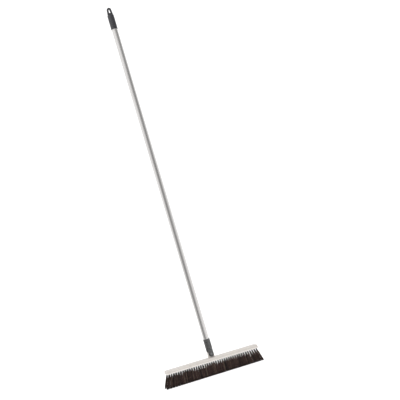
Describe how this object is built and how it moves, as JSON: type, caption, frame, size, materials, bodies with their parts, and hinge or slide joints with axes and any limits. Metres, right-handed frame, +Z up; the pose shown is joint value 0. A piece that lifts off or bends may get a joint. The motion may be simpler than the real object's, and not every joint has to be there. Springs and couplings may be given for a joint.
{
  "type": "push broom",
  "caption": "Push broom with a narrow brush block of fanned dark bristle tufts, a fork swivel, and a long round tube handle with a hanging cap.",
  "frame": {"origin": "on the floor, under the middle of the brush, where the bristle tips rest", "axes": "+Z up, X along the brush, +Y from its front to its back; at rest the handle leans 3.3 degrees from upright towards -X"},
  "size_m": [0.4128, 0.042, 1.4967],
  "materials": {
    "tube_aluminium": "satin anodised, drawn lengthwise",
    "cap_plastic": "fine moulded texture",
    "socket_plastic": "fine moulded texture",
    "block_plastic": "satin moulded",
    "lip_plastic": "satin moulded",
    "washer_plastic": "natural moulded",
    "bristle": "dark brown-black fibre",
    "steel": "zinc plated"
  },
  "bodies": {
    "head": {"tuft_plate": "lip_plastic", "block_cover": "block_plastic", "cover_screws": "steel", "bristles_front": "bristle", "bristles_middle": "bristle", "bristles_back": "bristle", "tuft_anchors_front": "steel", "tuft_anchors_middle": "steel", "tuft_anchors_back": "steel", "pivot_bush": "steel"},
    "handle": {"pivot_fork": "socket_plastic", "pivot_bolt": "steel", "pivot_nut": "steel", "spring_washer": "steel", "thrust_washer_front": "washer_plastic", "thrust_washer_back": "washer_plastic", "handle_tube": "tube_aluminium", "tube_bung": "washer_plastic", "tube_screw": "steel", "end_cap": "cap_plastic"}
  },
  "joints": [
    {"name": "head_swivel", "type": "hinge", "parent": "head", "child": "handle", "pos_m": [0, 0, 0.0816], "axis": [0, 1, 0], "range_deg": [-66.7, 73.3]}
  ]
}
